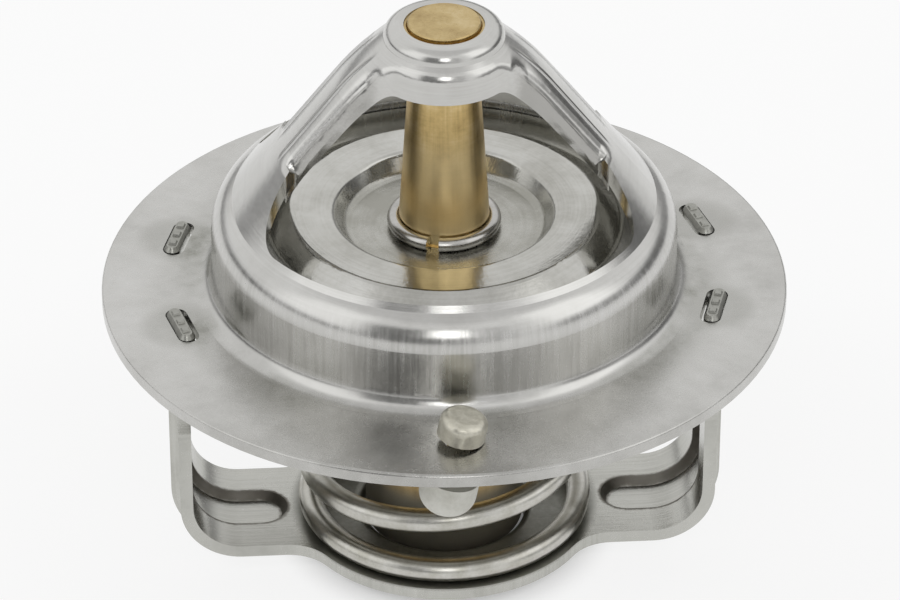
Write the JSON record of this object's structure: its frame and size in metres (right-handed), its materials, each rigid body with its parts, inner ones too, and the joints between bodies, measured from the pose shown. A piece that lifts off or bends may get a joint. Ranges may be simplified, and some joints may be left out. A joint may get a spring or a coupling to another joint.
{
  "type": "engine thermostat",
  "caption": "Wax-element engine thermostat: round flange with a domed neck and bridge, dished valve disc, brass element, return spring, strap lower frame and a loose jiggle pin.",
  "frame": {"origin": "on the thermostat's axis, in the plane of the flange's underside", "axes": "+Z along the axis, from the wax element towards the bridge hub; +X towards one leg of the lower frame"},
  "size_m": [0.056, 0.056, 0.049],
  "materials": {
    "stainless": "deep-drawn stainless sheet, satin with drawing marks",
    "disc_stainless": "pressed stainless sheet, satin",
    "brass": "turned or drawn brass, slightly dull",
    "spring_steel": "bright drawn wire",
    "piston_steel": "ground",
    "pin_metal": "plated, dull",
    "weight_plastic": "matt",
    "rubber": "matt",
    "wax": "waxy",
    "ptfe": "smooth"
  },
  "bodies": {
    "frame": {"upper_frame": "stainless", "lower_frame": "stainless", "piston_seat": "brass", "piston": "piston_steel", "main_spring": "spring_steel"},
    "valve": {"guide": "brass", "snap_ring": "spring_steel", "valve_disc": "disc_stainless", "wax_cup": "brass", "wax_charge": "wax", "diaphragm": "rubber", "transfer_paste": "wax", "rubber_plug": "rubber", "backup_disc": "ptfe"},
    "jiggle": {"jiggle_pin": "pin_metal", "jiggle_weight": "weight_plastic"}
  },
  "joints": [
    {"name": "valve_slide", "type": "slide", "parent": "frame", "child": "valve", "axis": [0, 0, -1], "range_m": [0, 0.0085], "stiffness_N_per_m": 2000, "springref_m": -0.02, "deforming": ["main_spring"]},
    {"name": "jiggle_slide", "type": "slide", "parent": "frame", "child": "jiggle", "axis": [0.1908, 0, 0.9816], "range_m": [0, 0.0017]}
  ]
}
